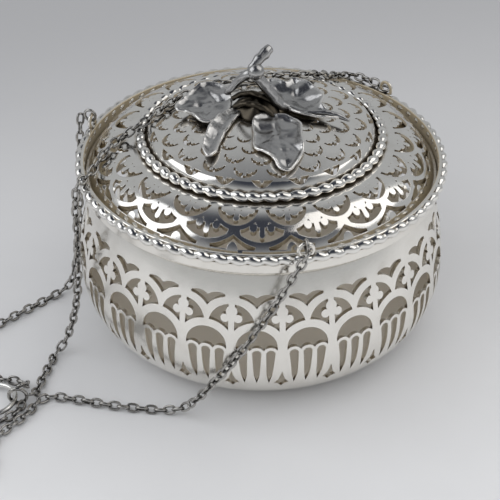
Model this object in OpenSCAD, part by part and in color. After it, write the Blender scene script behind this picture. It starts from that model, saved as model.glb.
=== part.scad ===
// Silver potpourri holder: a pierced bowl with a lift-off pierced lid, a leaf finial and three chains.
// Millimetres, +Z up, the bowl's flat base on z = 0 and its axis on x = 0, y = 0.
// The front of the object, where the first arch of the bowl stands, faces -Y.

/* [Bowl] */
// Largest radius of the bowl, at the belly
bowl_r = 51; // [48:0.5:56]
// Radius of the flat base
base_r = 30; // [24:0.5:34]
// Height of the belly above the base
belly_z = 21; // [19:0.5:23]
// How far the neck stands inside the belly
neck_inset = 4.8; // [4.2:0.1:5.4]
// Height of the neck, where the bowl ends and the rim starts
neck_z = 45; // [43:0.5:50]
// Wall of the bowl
bowl_wall = 1; // [0.8:0.1:1.4]
// Arches round the bowl
bowl_arches = 24; // [22:1:26]

/* [Rim] */
// Height of the rim above the neck
rim_h = 8; // [7:0.5:10]
// How far the rim's inner wall stands outside the neck
rim_step = 2; // [1.6:0.1:2.4]
// Wall of the rim behind the twisted wire
rim_wall = 0.6; // [0.5:0.05:0.8]
// Width of the flat band on top of the rim
rim_flat_w = 1; // [0.8:0.1:1.4]
// Thickness of the flat band
rim_flat_t = 0.6; // [0.5:0.1:0.9]
// Radius of the twisted wire round the rim
rope_r = 1.4; // [1.2:0.1:1.6]
// How far the middle of the twisted wire stands outside the flat band
rope_out = 0.2; // [0:0.1:0.4]
// Turns of the twisted wire that show round the rim
rope_beads = 74; // [48:2:76]
// Depth of the lid seat below the rim top
seat_drop = 4.8; // [4:0.1:5.4]
// Width of the seat ring inside the neck
seat_w = 1.2; // [1:0.1:1.6]
// Thickness of the seat ring
seat_t = 1.2; // [0.8:0.1:1.6]

/* [Lid] */
// Gap between the lid and the rim
lid_gap = 0.3; // [0.2:0.05:0.6]
// Wall of the lid
lid_wall = 0.9; // [0.7:0.1:1.1]
// Radius of the curve that the lid's outer slope follows
slope_r = 12.8; // [12:0.1:13.6]
// How far the lid's edge stands outside that curve
edge_out = 0.1; // [0:0.1:0.3]
// Width of the rolled edge of the lid
edge_w = 1.4; // [1.2:0.1:1.8]
// Height of the rolled edge of the lid
edge_h = 1.2; // [1:0.1:1.4]
// Height of the lid's flat land above its seat
land_h = 10; // [9:0.1:11]
// Width of the flat land that carries the wire ring
land_w = 4.5; // [4:0.1:5]
// Wall of the locating ring under the lid
bezel_t = 0.9; // [0.7:0.1:1.2]
// How far the locating ring reaches below the seat
bezel_drop = 1.6; // [1:0.1:2.4]
// Gap between the locating ring and the seat ring
bezel_gap = 0.4; // [0.3:0.05:0.8]
// Radius of the twisted wire on the lid
lid_rope_r = 1.4; // [1.2:0.1:1.6]
// Turns of the twisted wire that show round the lid
lid_rope_beads = 54; // [36:2:60]
// Height of the inner dome above the flat land
dome_h = 7.8; // [6.6:0.1:9]
// Scales round the lid
lid_scales = 19; // [18:1:21]

/* [Finial] */
// Radius of the finial's foot
foot_r = 5; // [4.5:0.1:6]
// Thickness of the finial's foot
foot_t = 1.6; // [1.2:0.1:2.2]
// Radius of the threaded stud
stud_r = 1.5; // [1.2:0.1:1.8]
// Clearance round the stud
stud_gap = 0.1; // [0.1:0.05:0.3]
// Length of the stud below the dome
stud_len = 4.2; // [3.8:0.1:5]
// Radius of the washer
washer_r = 4; // [3.6:0.1:5]
// Thickness of the washer
washer_t = 0.8; // [0.6:0.1:1]
// Size of the nut over its corners
nut_d = 6.4; // [5.6:0.1:7.2]
// Height of the nut
nut_h = 2.2; // [1.8:0.1:2.4]
// Radius of the branch that the lid is lifted by
branch_r = 0.9; // [0.7:0.05:1.1]
// Radius of the bud
bud_r = 2.1; // [1.8:0.1:2.4]
// Thickness of the leaves
leaf_t = 0.8; // [0.6:0.05:1]

/* [Chains] */
// Radius of the plain tube that stands for a chain
chain_r = 1.1; // [0.9:0.05:1.1]
// Wire radius of the eyelets on the rim
eyelet_wire = 0.5; // [0.4:0.05:0.55]
// Radius of an eyelet, to the middle of its wire
eyelet_r = 1.9; // [1.8:0.05:2.1]
// Wire radius of the end rings
end_wire = 0.4; // [0.3:0.05:0.45]
// Radius of an end ring, to the middle of its wire
end_r = 1.6; // [1.5:0.05:1.7]
// Wire radius of the ring that gathers the chains
gather_wire = 0.5; // [0.4:0.05:0.5]
// Radius of the gathering ring, to the middle of its wire
gather_r = 2.4; // [2.4:0.05:2.6]
// Wire radius of the hanging ring
hang_wire = 0.7; // [0.6:0.05:0.7]
// Radius of the hanging ring, to the middle of its wire
hang_r = 6.3; // [5.8:0.1:6.3]

/* [Hidden] */
$fn = 96;
silver = [0.82, 0.82, 0.80];
gilt = [0.72, 0.66, 0.52];
dark = [0.55, 0.54, 0.52];

// The bowl's side is two arcs that meet at the belly.
base_in = bowl_r - base_r;
low_r = (belly_z * belly_z + base_in * base_in) / (2 * base_in);
low_x = bowl_r - low_r;
neck_r = bowl_r - neck_inset;
rise = neck_z - belly_z;
up_r = (rise * rise + neck_inset * neck_inset) / (2 * neck_inset);
up_x = bowl_r - up_r;

// Rim
rim_z = neck_z + rim_h;
rim_in = neck_r + rim_step;
rim_out = rim_in + rim_flat_w;
neck_in = neck_r - bowl_wall;
seat_z = rim_z - seat_drop;
seat_in = neck_in - seat_w;
flat_z = rim_z - rim_flat_t;
rope_x = rim_out + rope_out;
rope_z = rim_z - rope_r;
lip_z = rope_z - rope_r + 0.1;
lip_x = rim_out + 0.1;
collar_x = rim_in + rim_wall;

// Lid. It fits inside the rim. Its slope is an arc from its edge up to a flat land.
lid_r = rim_in - lid_gap;
slope_x = lid_r - edge_out - slope_r;
land_z = seat_z + land_h;
slope_z = land_z - slope_r;
slope_in_r = slope_x - land_w;
bezel_r = seat_in - bezel_gap;
lid_rope_x = slope_in_r + 2.1;
lid_rope_z = land_z + lid_rope_r - 0.2;
dome_r = slope_in_r + 0.7;
dome_curve = 105;
dome_top = land_z + dome_h;
dome_ball_z = dome_top + 0.3 - dome_curve;
corner_r = 5.4;
corner_x = dome_r - corner_r;
under_dome = dome_top - lid_wall;

// Eyelets stand where the rim's flat band meets the twisted wire.
// The rings that hang in them stay outside the lid's edge by a clearance, so that the lid can be lifted.
ring_clear = 0.25;
eye_z = rim_z + 1.3;
ring_play = end_r - end_wire - eyelet_wire - 0.08;
hung_x = lid_r + ring_clear + end_r + end_wire;
eye_x = hung_x - 0.88 * ring_play;
hung_z = eye_z + eyelet_r - 0.47 * ring_play;
front_turn = -77.5;
right_turn = 42.5;
left_turn = 162.5;

// The rings at the far end of the chains, which lie on the surface that the bowl stands on
hang_x = -66.2;
hang_y = -43.2;
hang_z = gather_r + gather_wire - 0.8;
hang_tilt = asin((hang_z - hang_wire) / (2 * hang_r));
gather_x = hang_x + 0.8;
gather_z = gather_r + gather_wire;

// Routes of the chains, from the end ring on the rim to the gathering ring
route_front = [
  [11.4, -51.8, 55.6], [8.6, -51.9, 50.5], [1, -52.4, 36], [-7.5, -52.3, 22], [-12, -51.3, 15],
  [-16.5, -49.8, 8], [-20.5, -48.2, 3.2], [-25.5, -47, 1.2], [-38.5, -45.4, 1.2],
  [-51.5, -42.4, 1.2], [-57, -41.6, 1.2], [-60, -43.6, 1.2], [-61.4, -46.6, 1.2],
  [-63.8, -50.4, 1.2], [-67, -54.4, 1.2], [-69.6, -58.6, 1.2], [-70, -63.5, 1.2],
  [-69, -69, 1.2], [-71.5, -75, 1.2], [-78.5, -77, 1.2], [-84, -72, 1.2],
  [-84, -64.5, 1.2], [-79.5, -58, 1.2], [-74.5, -54.2, 1.2], [-69.4, -51.6, 1.2],
  [-65.6, -48.2, 1.2], [-63.9, -44.2, 1.4]
];
route_left = [
  [-50.6, 16, 55.6], [-50.9, 13.8, 50], [-51.6, 10.4, 36], [-52.6, 8.8, 22], [-53.4, 8.4, 15],
  [-54.6, 8, 8.5], [-56.4, 7.2, 3.2], [-60, 5, 1.2], [-69.8, -4.4, 1.2], [-75, -9.4, 1.2],
  [-81, -13, 1.2], [-88, -14.8, 1.2], [-96, -15.6, 1.2], [-106, -17.6, 1.2],
  [-111.6, -22.4, 1.2], [-111.8, -29, 1.2], [-106, -33.8, 1.2], [-96, -35.2, 1.2],
  [-88, -35.2, 1.2], [-81, -34.4, 1.2], [-74.5, -34, 1.2], [-68.6, -34.6, 1.2],
  [-64.8, -36, 1.4], [-63.6, -38.8, 3], [-64.2, -41, 4.9], [-65, -42.4, 5.6]
];
route_back_rim = [[34.4, 36.6, 54.3], [31.2, 38.9, 54.3], [28.2, 41.1, 54.3]];
route_back_lid = [
  [28.2, 41.1, 54.3], [27, 42, 54.3], [25.6, 41.6, 54.4], [24.3, 40, 54.9], [23.3, 38, 56], [22.3, 35.6, 57.6],
  [21.2, 33.2, 58.9], [19.8, 31, 59.5], [18.4, 29.4, 61.1], [17.2, 28, 62.1], [16, 26.6, 62.5],
  [14.8, 25.2, 63.6], [13, 23.6, 64.3], [10.2, 22.2, 64.9], [6.6, 21, 65.4], [2.2, 19.6, 65.8],
  [-3.4, 17.8, 66.1], [-8.6, 16, 66.1], [-13.2, 14.4, 65.9], [-17.4, 12.6, 65.5], [-21.2, 10.2, 65],
  [-24.4, 7.4, 64.5], [-27, 4.4, 64], [-29.2, 1.8, 63.6], [-31, 0.2, 62.6], [-32.8, -0.8, 62.2],
  [-34.7, -1.8, 61.1], [-36.8, -2.8, 59.7], [-39, -4.4, 59], [-41, -6.6, 58], [-42.8, -9, 56.6],
  [-44.4, -11.4, 55], [-45.6, -13.4, 54.3], [-47, -15.8, 54.3]
];
route_back_fall = [
  [-47, -15.8, 54.3], [-47.7, -17, 54.3], [-48.6, -18.8, 53.5], [-49, -19.5, 50],
  [-49.3, -20.4, 36], [-50.2, -20.5, 22], [-51.2, -20.4, 15.5], [-52.8, -20.3, 9], [-55, -20.6, 3.6],
  [-57.4, -23.2, 1.2], [-58.8, -29, 1.2], [-60, -34.4, 1.2], [-60.6, -38.6, 1.2],
  [-61.6, -41.6, 2.2], [-62.6, -43, 3.2]
];

// Paths of the finial's branch, twig and tendril, in heights above the dome's top
path_branch = [
  [-9.5, 6, 1], [-9, 4.4, 3], [-7.4, 2, 6.4], [-5.4, -0.6, 10], [-3, -1.6, 12.2], [-0.6, -1.6, 11.4],
  [1.6, -0.8, 8.4], [3.6, 0, 5], [5.6, 0.4, 2.4], [7.6, 0, 1]
];
path_twig = [[-3, -1.6, 12.4], [-2, -1, 14.4], [-0.4, 0.4, 16.6], [1.4, 2.2, 18.6], [3, 4, 20.2]];
path_tendril = [
  [7.6, 0, 1], [10.4, -1.6, 0.6], [13.4, -2.6, 0.8], [16.6, -2.8, 1], [20, -3.4, 0.6], [23, -4.6, 0.2]
];

// A round tube through a list of points. Its rings are square to the path and keep one side vector.
function unit(v) = v / norm(v);
function heading(p, i) = unit(p[min(i + 1, len(p) - 1)] - p[max(i - 1, 0)]);
function ring_at(p, i, r, ref, n) =
  let (
    t = heading(p, i),
    u = unit(cross(t, ref)),
    w = cross(u, t)
  ) [for (k = [0 : n - 1]) p[i] + r * (cos(k * 360 / n) * u + sin(k * 360 / n) * w)];

module tube(p, r, ref = [0.55, 0.2, 0.81], n = 8, taper = 1) {
  last = len(p) - 1;
  points = [
    for (i = [0 : last])
      each ring_at(p, i, r * (1 + (taper - 1) * i / last), ref, n)
  ];
  sides = [
    for (i = [0 : last - 1], k = [0 : n - 1])
      each [
        [i * n + k, i * n + (k + 1) % n, (i + 1) * n + (k + 1) % n],
        [i * n + k, (i + 1) * n + (k + 1) % n, (i + 1) * n + k]
      ]
  ];
  caps = [[for (k = [n - 1 : -1 : 0]) k], [for (k = [0 : n - 1]) last * n + k]];
  polyhedron(points, concat(sides, caps), convexity = 6);
}

module wire_ring(r, wire) {
  rotate_extrude()
    translate([r, 0])
      circle(wire, $fn = 48);
}

module at_turn(turn) {
  rotate([0, 0, turn])
    children();
}

// Half sections, drawn with x as the radius and y as the height
module bowl_side(t) {
  intersection() {
    union() {
      intersection() {
        translate([low_x, belly_z])
          circle(low_r - t);
        translate([low_x, t])
          square([low_r, belly_z - t]);
      }
      translate([0, t])
        square([low_x, belly_z - t]);
      intersection() {
        translate([up_x, belly_z])
          circle(up_r - t);
        translate([0, belly_z])
          square([bowl_r + 1, rise]);
      }
    }
    square([bowl_r + 1, neck_z]);
  }
}

// Openings of the bowl, drawn on its side in grains with the belly at y = 0. An arch stands at x = 0.
// Thirteen and a tenth grains go into the field of one arch, so the pattern follows the bowl's size.
bowl_grain = 2 * PI * (bowl_r - bowl_wall) / bowl_arches / 13.1;
arch_r = 5.4;
arch_y = 4.2;
slot_w = 1.2;
slot_step = 3.65;
slot_y = 2.3;
pier = 6.55;
crown_y = 10.5;

module arch_opening() {
  difference() {
    intersection() {
      translate([0, arch_y])
        circle(arch_r);
      translate([-arch_r, slot_y + slot_w])
        square([2 * arch_r, arch_r + 3]);
    }
    for (k = [-1 : 1])
      translate([k * slot_step, slot_y])
        circle(slot_w + 0.9);
  }
}

module slot_opening(lean) {
  translate([0, slot_y])
    circle(slot_w);
  polygon([
    [-slot_w, slot_y], [slot_w, slot_y], [0.75 + lean * 0.7, slot_y - 7.4],
    [lean, slot_y - 11], [-0.75 + lean * 0.7, slot_y - 7.4]
  ]);
}

// A bird with round wing tips: two shallow arcs above and two hollow ones below
module wing_opening() {
  difference() {
    union() {
      intersection() {
        union() {
          translate([-2.6, crown_y + 4.5])
            circle(4.2);
          translate([2.6, crown_y + 4.5])
            circle(4.2);
        }
        translate([-4.1, crown_y + 4])
          square([8.2, 6]);
      }
      for (s = [-1, 1])
        translate([s * 4.1, crown_y + 8])
          circle(0.44);
    }
    for (s = [-1, 1])
      translate([s * 5.6, crown_y + 0.7])
        circle(7.06);
  }
}

module leaf_opening() {
  difference() {
    translate([0, crown_y])
      circle(6);
    for (s = [-1, 1])
      translate([s * pier, arch_y])
        circle(arch_r + 2.2);
    translate([0, crown_y + 4])
      circle(1.5);
    for (s = [-1, 1])
      translate([s * 1.7, crown_y + 2.1])
        circle(1.15);
    translate([-0.8, crown_y - 6])
      square([1.6, 12.2]);
    translate([-6, crown_y - 7])
      square([12, 4.8]);
  }
}

module foot_opening() {
  polygon([
    [0, -3.7], [0.8, -6.8], [1.9, -8.6], [0.9, -9],
    [0, -10.4], [-0.9, -9], [-1.9, -8.6], [-0.8, -6.8]
  ]);
}

module pierce(turn) {
  rotate([0, 0, turn])
    translate([0, 0, belly_z])
      rotate([90, 0, 90])
        translate([0, 0, bowl_r - 13])
          linear_extrude(16)
            scale(bowl_grain)
              children();
}

module bowl_shell() {
  color(silver)
    difference() {
      rotate_extrude()
        difference() {
          bowl_side(0);
          bowl_side(bowl_wall);
        }
      for (i = [0 : bowl_arches - 1]) {
        pierce(-90 - 1.5 + i * 360 / bowl_arches) {
          arch_opening();
          slot_opening(0);
          translate([-slot_step, 0])
            slot_opening(0.5);
          translate([slot_step, 0])
            slot_opening(-0.5);
          wing_opening();
        }
        pierce(-90 - 1.5 + (i + 0.5) * 360 / bowl_arches) {
          leaf_opening();
          foot_opening();
        }
      }
    }
}

module rim_section() {
  polygon([
    [neck_in, neck_z], [neck_r, neck_z], [neck_r + 0.7, neck_z + 0.8],
    [lip_x, neck_z + 2.8], [lip_x, lip_z], [collar_x, lip_z], [collar_x, flat_z], [rim_out, flat_z],
    [rim_out, rim_z - 0.2], [rim_out - 0.2, rim_z], [rim_in + 0.2, rim_z], [rim_in, rim_z - 0.2],
    [rim_in, seat_z], [neck_in, seat_z]
  ]);
}

module rim_band() {
  color(silver)
    rotate_extrude()
      rim_section();
}

module lid_seat() {
  color(gilt)
    rotate_extrude()
      translate([seat_in, seat_z - seat_t])
        square([seat_w, seat_t]);
}

module twist_cuts(n, x, z, r, groove) {
  for (i = [0 : n - 1])
    rotate([0, 0, i * 360 / n])
      translate([x, 0, z])
        rotate([38, 0, 0])
          cylinder(h = 4 * r, r = groove, center = true, $fn = 24);
}

module rim_rope() {
  color(silver)
    difference() {
      rotate_extrude()
        difference() {
          translate([rope_x, rope_z])
            circle(rope_r);
          rim_section();
          square([collar_x, 2 * rim_z]);
        }
      twist_cuts(rope_beads, rope_x + rope_r + 0.1, rope_z, rope_r, 0.7);
    }
}

module eyelet(turn) {
  at_turn(turn)
    intersection() {
      translate([eye_x, 0, eye_z])
        rotate([0, 90, 0])
          wire_ring(eyelet_r, eyelet_wire);
      translate([eye_x - 3, -4, rim_z])
        cube([6, 8, 8]);
    }
}

module eyelet_front() {
  color(silver)
    eyelet(front_turn);
}

module eyelet_right() {
  color(silver)
    eyelet(right_turn);
}

module eyelet_left() {
  color(silver)
    eyelet(left_turn);
}

// The front and left end rings hang outwards over the rim. The right one lies flat on it.
module hung_ring(turn) {
  at_turn(turn)
    translate([hung_x, 0, hung_z])
      rotate([90, 0, 0])
        wire_ring(end_r, end_wire);
}

module end_ring_front() {
  color(dark)
    hung_ring(front_turn);
}

module end_ring_left() {
  color(dark)
    hung_ring(left_turn);
}

module end_ring_right() {
  color(dark)
    at_turn(right_turn)
      translate([eye_x + end_r * cos(68), end_r * sin(68), rim_z + end_wire])
        wire_ring(end_r, end_wire);
}

module chain_front() {
  color(dark)
    tube(route_front, chain_r);
}

module chain_left() {
  color(dark)
    tube(route_left, chain_r);
}

module chain_back_rim() {
  color(dark)
    tube(route_back_rim, chain_r);
}

module chain_back_lid() {
  color(dark)
    tube(route_back_lid, chain_r);
}

module chain_back_fall() {
  color(dark)
    tube(route_back_fall, chain_r);
}

module gather_ring() {
  color(dark)
    translate([gather_x, hang_y, gather_z])
      rotate([90, 0, 0])
        wire_ring(gather_r, gather_wire);
}

module hanging_ring() {
  color(silver)
    translate([hang_x, hang_y, hang_z])
      rotate([0, -hang_tilt, 0])
        translate([-hang_r, 0, 0])
          wire_ring(hang_r, hang_wire);
}

// Openings of the lid, seen from above in grains, with y away from the axis.
// Eleven point six grains go into one field where the slope starts, so the pattern follows the lid's size.
lid_grain = 2 * PI * slope_x / lid_scales / 11.6;

// An arch with a lobed leaf standing in it. Nothing is cut below low.
module scale_opening(low) {
  difference() {
    intersection() {
      circle(5.1);
      translate([-6, low])
        square(12);
    }
    translate([0, 3.1])
      circle(0.8);
    translate([-0.7, 0])
      square([1.4, 3.1]);
    for (s = [-1, 1]) {
      translate([s * 1.8, 1.3])
        circle(1.2);
      translate([s * 3.2, 0.3])
        circle(1.1);
    }
    translate([-4.2, -3])
      square([8.4, 3.4]);
  }
}

// A fan with a lobed leaf standing in it, between the arches of the first row
module fan_opening() {
  difference() {
    intersection() {
      translate([0, -0.4])
        circle(10);
      translate([0, 6.1])
        circle(5.6);
      translate([-6, 5.2])
        square([12, 6]);
    }
    for (s = [-1, 1])
      translate([s * 6, 0.8])
        circle(6.2);
    polygon([[-1.9, 5], [1.9, 5], [1.1, 6.6], [-1.1, 6.6]]);
    for (s = [-1, 1])
      translate([s * 2.2, 6.6])
        circle(1);
    translate([-0.7, 6])
      square([1.4, 2.1]);
    translate([0, 8.1])
      circle(0.75);
  }
}

// What is left between two fans and the lid's plain edge, with a drop hanging into it
module edge_opening() {
  difference() {
    intersection() {
      translate([0, -slope_x / lid_grain])
        circle(slope_x / lid_grain + 10.8);
      translate([-5.8, 8])
        square([11.6, 4]);
    }
    for (s = [-1, 1])
      translate([s * 5.7, -0.9])
        circle(10.9);
    translate([0, 11.2])
      circle(1.5);
  }
}

// Cuts a pattern straight down. Its place is given as a turn about the axis and a distance from it.
module drop(turn, d, h0, h, grain) {
  rotate([0, 0, turn - 90])
    translate([0, d, h0])
      linear_extrude(h)
        scale(grain)
          children();
}

module lid_outer() {
  color(silver)
    difference() {
      rotate_extrude()
        union() {
          intersection() {
            difference() {
              translate([slope_x, slope_z])
                circle(slope_r);
              translate([slope_x, slope_z])
                circle(slope_r - lid_wall);
            }
            translate([slope_x, seat_z])
              square([slope_r + 1, land_h]);
          }
          translate([slope_in_r, land_z - lid_wall])
            square([land_w, lid_wall]);
          translate([lid_r - edge_w, seat_z])
            square([edge_w, edge_h]);
        }
      for (i = [0 : lid_scales - 1]) {
        turn = -90 + i * 360 / lid_scales;
        half = 180 / lid_scales;
        drop(turn + half, slope_x + 1.3 * lid_grain, seat_z, land_h + 1, lid_grain)
          scale_opening(-0.3);
        drop(turn, slope_x, seat_z, land_h + 1, lid_grain)
          fan_opening();
        drop(turn + half, slope_x, seat_z, land_h + 1, lid_grain)
          edge_opening();
      }
    }
}

// A flange on the seat ring with a lip that reaches down inside it. The slope's inner face bounds it.
module lid_bezel() {
  color(gilt)
    rotate_extrude()
      intersection() {
        union() {
          translate([bezel_r - bezel_t, seat_z])
            square([lid_r - edge_w - bezel_r + bezel_t, bezel_t]);
          translate([bezel_r - bezel_t, seat_z - bezel_drop])
            square([bezel_t, bezel_drop + bezel_t]);
        }
        translate([slope_x, slope_z])
          circle(slope_r - lid_wall);
      }
}

module lid_rope() {
  color(silver)
    difference() {
      rotate_extrude()
        intersection() {
          translate([lid_rope_x, lid_rope_z])
            circle(lid_rope_r);
          translate([slope_in_r, land_z])
            square([3 * lid_rope_r, 2 * lid_rope_r]);
        }
      twist_cuts(lid_rope_beads, lid_rope_x + 1.1, lid_rope_z + lid_rope_r - 0.3, lid_rope_r, 0.45);
    }
}

module dome_side(t) {
  intersection() {
    translate([0, dome_ball_z])
      circle(dome_curve - t, $fn = 360);
    union() {
      translate([corner_x, land_z])
        circle(corner_r - t);
      translate([0, land_z])
        square([corner_x, dome_h]);
    }
    translate([0, land_z])
      square([dome_r + 1, dome_h - t]);
  }
}

// One row of scales on the dome. It is turned by part of a field.
// Its place is a share of the dome and its size a share of a field.
module dome_row(part, d, size, low) {
  field = 360 / lid_scales;
  for (i = [0 : lid_scales - 1])
    drop(-90 + (i + part) * field, d * dome_r, land_z + 0.6, dome_h, size * 2 * PI * d * dome_r / lid_scales)
      scale_opening(low);
}

module lid_dome() {
  color(silver)
    difference() {
      rotate_extrude()
        difference() {
          dome_side(0);
          dome_side(lid_wall);
        }
      translate([0, 0, land_z])
        cylinder(h = dome_h + 1, r = stud_r + stud_gap);
      dome_row(0, 0.872, 0.0711, 2.6);
      dome_row(0.5, 0.812, 0.0717, -0.3);
      dome_row(0, 0.683, 0.0767, -0.3);
      dome_row(0.5, 0.567, 0.0769, -0.3);
      dome_row(0, 0.449, 0.0778, -0.3);
    }
}

module finial_foot() {
  color(silver)
    translate([0, 0, dome_top])
      rotate_extrude()
        polygon([
          [0, 0], [foot_r, 0], [foot_r, foot_t / 2], [foot_r - 1, foot_t], [0, foot_t]
        ]);
}

module finial_stud() {
  color(gilt)
    translate([0, 0, under_dome - stud_len])
      cylinder(h = stud_len + lid_wall, r = stud_r);
}

module finial_washer() {
  color(gilt)
    translate([0, 0, under_dome - washer_t])
      difference() {
        cylinder(h = washer_t, r = washer_r);
        translate([0, 0, -1])
          cylinder(h = washer_t + 2, r = stud_r + stud_gap);
      }
}

module finial_nut() {
  color(gilt)
    translate([0, 0, under_dome - washer_t - nut_h])
      difference() {
        cylinder(h = nut_h, r = nut_d / 2, $fn = 6);
        translate([0, 0, -1])
          cylinder(h = nut_h + 2, r = stud_r);
      }
}

module branch_tube() {
  translate([0, 0, dome_top])
    tube(path_branch, branch_r, [0.1, 1, 0.05], 10);
}

module twig_tube() {
  translate([0, 0, dome_top])
    tube(path_twig, branch_r * 0.8, [0.8, -0.5, 0.1], 10, 1.5);
}

module finial_branch() {
  color(silver)
    branch_tube();
}

module finial_twig() {
  color(silver)
    difference() {
      twig_tube();
      branch_tube();
    }
}

module finial_bud() {
  color(silver)
    difference() {
      translate([-0.3, -0.2, dome_top + 12.9])
        sphere(bud_r);
      branch_tube();
      twig_tube();
    }
}

module finial_tendril() {
  color(silver)
    difference() {
      translate([0, 0, dome_top])
        tube(path_tendril, branch_r * 0.9, [0.1, 0.2, 1], 10, 0.7);
      branch_tube();
    }
}

// A leaf is an outline cut through a curved shell. Its stalk end is at the origin and it runs along +X.
module leaf(len, w, curve) {
  intersection() {
    linear_extrude(12)
      union() {
        translate([len * 0.36, w * 0.12])
          circle(w * 0.42);
        translate([len * 0.36, -w * 0.14])
          circle(w * 0.4);
        translate([len * 0.62, w * 0.2])
          circle(w * 0.3);
        translate([len * 0.64, -w * 0.2])
          circle(w * 0.29);
        polygon([
          [0, -w * 0.1], [len * 0.4, -w * 0.4], [len * 0.8, -w * 0.32], [len, -w * 0.04],
          [len, w * 0.06], [len * 0.8, w * 0.34], [len * 0.4, w * 0.4], [0, w * 0.12]
        ]);
      }
    translate([len * 0.45, 0, 3 - curve])
      difference() {
        sphere(curve);
        sphere(curve - leaf_t);
      }
  }
}

module leaf_left() {
  color(silver)
    difference() {
      translate([-8.4, 4.6, dome_top - 0.2])
        rotate([4, 0, 197])
          leaf(14, 11, 18);
      branch_tube();
    }
}

module leaf_back() {
  color(silver)
    translate([4.6, 5, dome_top - 0.3])
      rotate([-4, -4, 27])
        leaf(16, 12, 18);
}

module leaf_front() {
  color(silver)
    translate([1.2, -5.6, dome_top - 0.2])
      rotate([0, 6, -74])
        leaf(19, 13, 24);
}

module leaf_fold() {
  color(silver)
    translate([-4.4, -3.4, dome_top + 0.8])
      rotate([22, 4, -124])
        leaf(17, 9, 14);
}

bowl_shell();
rim_band();
lid_seat();
rim_rope();
eyelet_front();
eyelet_right();
eyelet_left();
end_ring_front();
end_ring_right();
end_ring_left();
chain_front();
chain_left();
chain_back_rim();
chain_back_lid();
chain_back_fall();
gather_ring();
hanging_ring();
lid_outer();
lid_bezel();
lid_rope();
lid_dome();
finial_foot();
finial_stud();
finial_washer();
finial_nut();
finial_branch();
finial_twig();
finial_bud();
finial_tendril();
leaf_left();
leaf_back();
leaf_front();
leaf_fold();
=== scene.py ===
import math
import random

import bmesh
import bpy
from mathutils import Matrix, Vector, noise
from mathutils.geometry import delaunay_2d_cdt


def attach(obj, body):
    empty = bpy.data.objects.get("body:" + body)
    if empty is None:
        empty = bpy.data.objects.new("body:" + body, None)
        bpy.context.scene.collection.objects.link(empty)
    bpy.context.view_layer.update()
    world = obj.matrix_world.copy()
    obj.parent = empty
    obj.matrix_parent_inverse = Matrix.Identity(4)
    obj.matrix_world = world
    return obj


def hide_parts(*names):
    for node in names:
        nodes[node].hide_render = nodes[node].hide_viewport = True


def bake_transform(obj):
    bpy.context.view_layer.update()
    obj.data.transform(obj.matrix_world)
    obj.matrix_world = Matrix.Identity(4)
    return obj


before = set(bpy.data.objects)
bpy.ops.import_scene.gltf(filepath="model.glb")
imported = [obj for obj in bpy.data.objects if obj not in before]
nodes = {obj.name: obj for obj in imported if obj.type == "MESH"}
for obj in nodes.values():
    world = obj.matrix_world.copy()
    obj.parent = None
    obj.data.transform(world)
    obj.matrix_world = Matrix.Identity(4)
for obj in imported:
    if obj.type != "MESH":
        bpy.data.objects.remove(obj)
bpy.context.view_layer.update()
MM = 0.001
FULL_TURN = 2 * math.pi

# Camera: the photo looks down 35 degrees from the front, with a long lens
CAMERA_PLACE = (-0.00305, -0.3505, 0.266)
CAMERA_PITCH = 35.02
LENS, SENSOR = 108, 36

scene = bpy.context.scene
cam_data = bpy.data.cameras.new("camera")
cam_data.sensor_width = SENSOR
cam_data.lens = LENS
cam_data.clip_start = 0.01
cam = bpy.data.objects.new("camera", cam_data)
scene.collection.objects.link(cam)
cam.location = CAMERA_PLACE
cam.rotation_euler = (math.radians(90 - CAMERA_PITCH), 0, 0)
scene.camera = cam


# General helpers, all sizes in millimetres until a mesh is made

SPAN_SAMPLES = 16


def catmull(points, closed=False, step=0.5):
    """A smooth line through the points, sampled evenly at about the given step."""
    pts = [Vector(p) for p in points]
    n = len(pts)
    dense = []
    spans = n if closed else n - 1
    for i in range(spans):
        if closed:
            a, b, c, d = pts[i - 1], pts[i], pts[(i + 1) % n], pts[(i + 2) % n]
        else:
            b, c = pts[i], pts[i + 1]
            a = pts[i - 1] if i else b * 2 - c
            d = pts[i + 2] if i + 2 < n else c * 2 - b
        t0, t1 = 0.0, max((b - a).length, 1e-6) ** 0.5
        t2 = t1 + max((c - b).length, 1e-6) ** 0.5
        t3 = t2 + max((d - c).length, 1e-6) ** 0.5
        for k in range(SPAN_SAMPLES):
            t = t1 + (t2 - t1) * k / SPAN_SAMPLES
            a1 = a * ((t1 - t) / (t1 - t0)) + b * ((t - t0) / (t1 - t0))
            a2 = b * ((t2 - t) / (t2 - t1)) + c * ((t - t1) / (t2 - t1))
            a3 = c * ((t3 - t) / (t3 - t2)) + d * ((t - t2) / (t3 - t2))
            b1 = a1 * ((t2 - t) / (t2 - t0)) + a2 * ((t - t0) / (t2 - t0))
            b2 = a2 * ((t3 - t) / (t3 - t1)) + a3 * ((t - t1) / (t3 - t1))
            dense.append(b1 * ((t2 - t) / (t2 - t1)) + b2 * ((t - t1) / (t2 - t1)))
    dense.append(pts[0].copy() if closed else pts[-1].copy())
    return resample(dense, step)


def resample(dense, step):
    """The same line with its points spaced evenly."""
    total = sum((b - a).length for a, b in zip(dense, dense[1:]))
    count = max(2, int(round(total / step)))
    out, want, run = [dense[0]], total / count, 0.0
    goal = want
    for a, b in zip(dense, dense[1:]):
        d = (b - a).length
        while run + d >= goal - 1e-9 and len(out) < count:
            out.append(a.lerp(b, (goal - run) / max(d, 1e-9)))
            goal += want
        run += d
    out.append(dense[-1])
    return out


def length_of(points):
    return sum((b - a).length for a, b in zip(points, points[1:]))


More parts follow.
